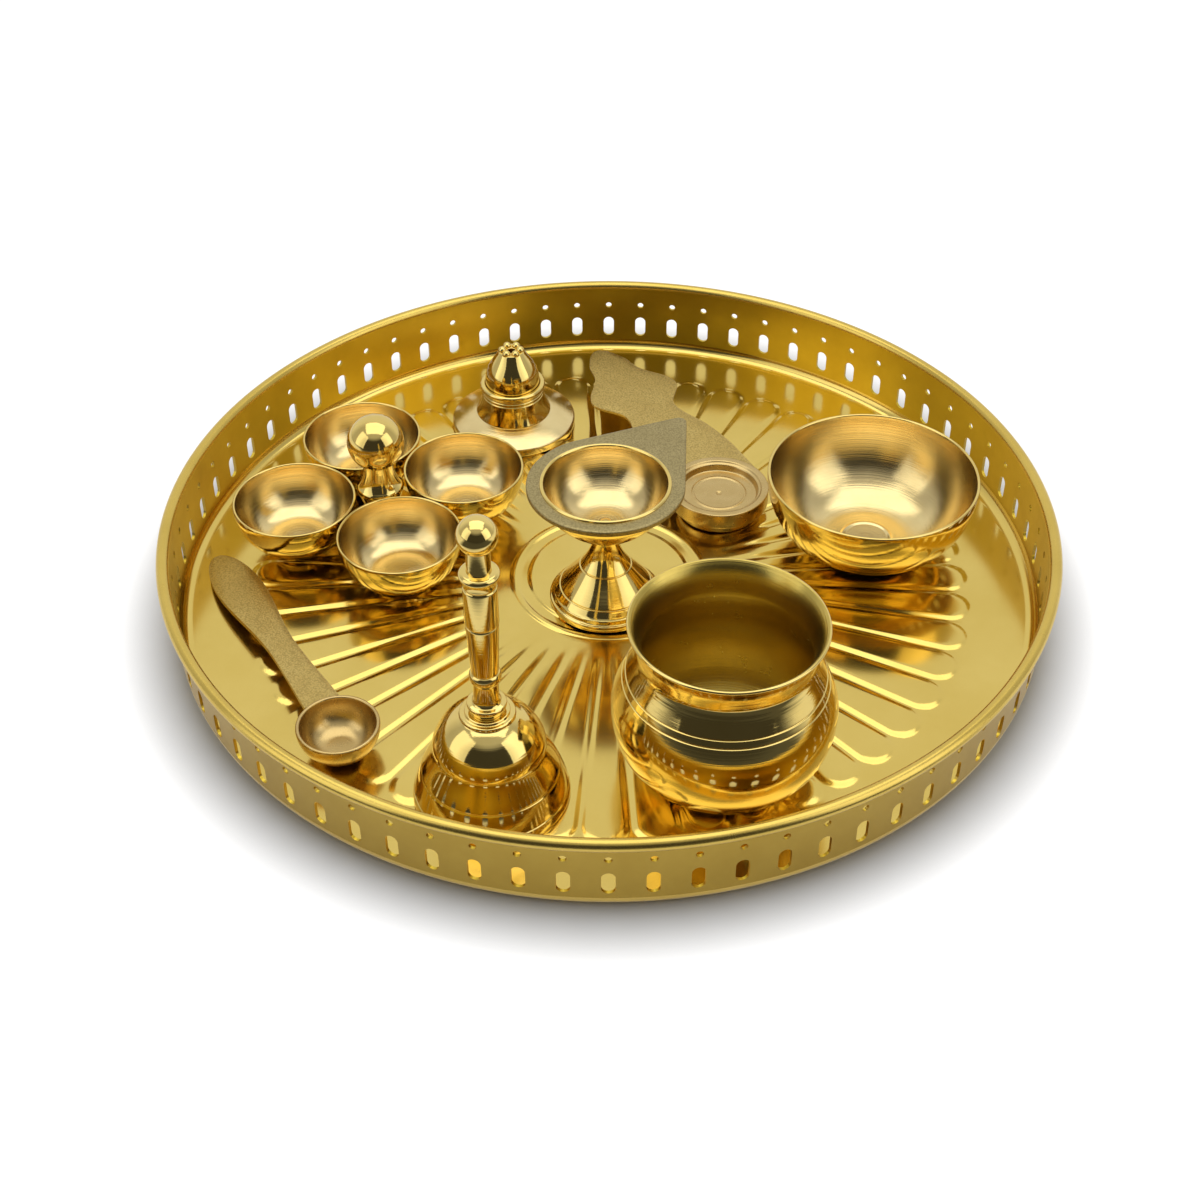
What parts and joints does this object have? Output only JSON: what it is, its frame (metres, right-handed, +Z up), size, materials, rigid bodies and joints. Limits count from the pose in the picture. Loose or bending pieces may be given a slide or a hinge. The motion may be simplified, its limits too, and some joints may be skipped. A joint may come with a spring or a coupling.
{
  "type": "puja thali",
  "caption": "Brass worship tray with a pierced wall and fluted floor, carrying a water pot, bowls, cup holder, oil lamp, camphor burner, incense stand, hand bell and spoon.",
  "frame": {"origin": "centre of the tray on the surface it stands on", "axes": "+Z up, -Y towards the user as in the picture, +X to the user's right"},
  "size_m": [0.3048, 0.3048, 0.1081],
  "materials": {
    "tray_brass": "pressed sheet, satin polished",
    "bowl_brass": "spun, polished outside and lathe-satin inside",
    "turned_brass": "turned and mirror polished",
    "cast_brass": "sand cast, stippled with polished edges",
    "fitting_brass": "turned, dull"
  },
  "bodies": {
    "tray": {"thali_tray": "tray_brass"},
    "katori": {"katori": "bowl_brass"},
    "lota": {"lota": "turned_brass"},
    "cup_holder": {"cup_right": "bowl_brass", "cup_back": "bowl_brass", "cup_left": "bowl_brass", "cup_front": "bowl_brass", "cup_cross": "bowl_brass", "cup_knob": "turned_brass", "cup_knob_screw": "fitting_brass"},
    "incense_stand": {"incense_base": "turned_brass", "incense_drum": "turned_brass", "incense_cone": "turned_brass", "incense_tie_screw": "fitting_brass"},
    "camphor_burner": {"camphor_burner": "cast_brass"},
    "diya": {"diya_foot": "turned_brass", "diya_bowl": "cast_brass", "diya_rivet": "fitting_brass"},
    "bell": {"bell_cup": "turned_brass", "bell_handle": "turned_brass", "bell_eye": "fitting_brass"},
    "clapper": {"clapper_rod": "fitting_brass", "clapper_bob": "fitting_brass"},
    "spoon": {"spoon": "cast_brass"}
  },
  "joints": [
    {"name": "katori_lift", "type": "slide", "parent": "tray", "child": "katori", "axis": [0, 0, 1], "range_m": [0, 0.12]},
    {"name": "lota_lift", "type": "slide", "parent": "tray", "child": "lota", "axis": [0, 0, 1], "range_m": [0, 0.12]},
    {"name": "cup_holder_lift", "type": "slide", "parent": "tray", "child": "cup_holder", "axis": [0, 0, 1], "range_m": [0, 0.12]},
    {"name": "incense_stand_lift", "type": "slide", "parent": "tray", "child": "incense_stand", "axis": [0, 0, 1], "range_m": [0, 0.12]},
    {"name": "camphor_burner_lift", "type": "slide", "parent": "tray", "child": "camphor_burner", "axis": [0, 0, 1], "range_m": [0, 0.12]},
    {"name": "diya_lift", "type": "slide", "parent": "tray", "child": "diya", "axis": [0, 0, 1], "range_m": [0, 0.12]},
    {"name": "bell_lift", "type": "slide", "parent": "tray", "child": "bell", "axis": [0, 0, 1], "range_m": [0, 0.12]},
    {"name": "spoon_lift", "type": "slide", "parent": "tray", "child": "spoon", "axis": [0, 0, 1], "range_m": [0, 0.12]},
    {"name": "clapper_swing", "type": "hinge", "parent": "bell", "child": "clapper", "pos_m": [-0.0358, -0.104, 0.03], "axis": [0, 1, 0], "range_deg": [-37, 37]}
  ]
}
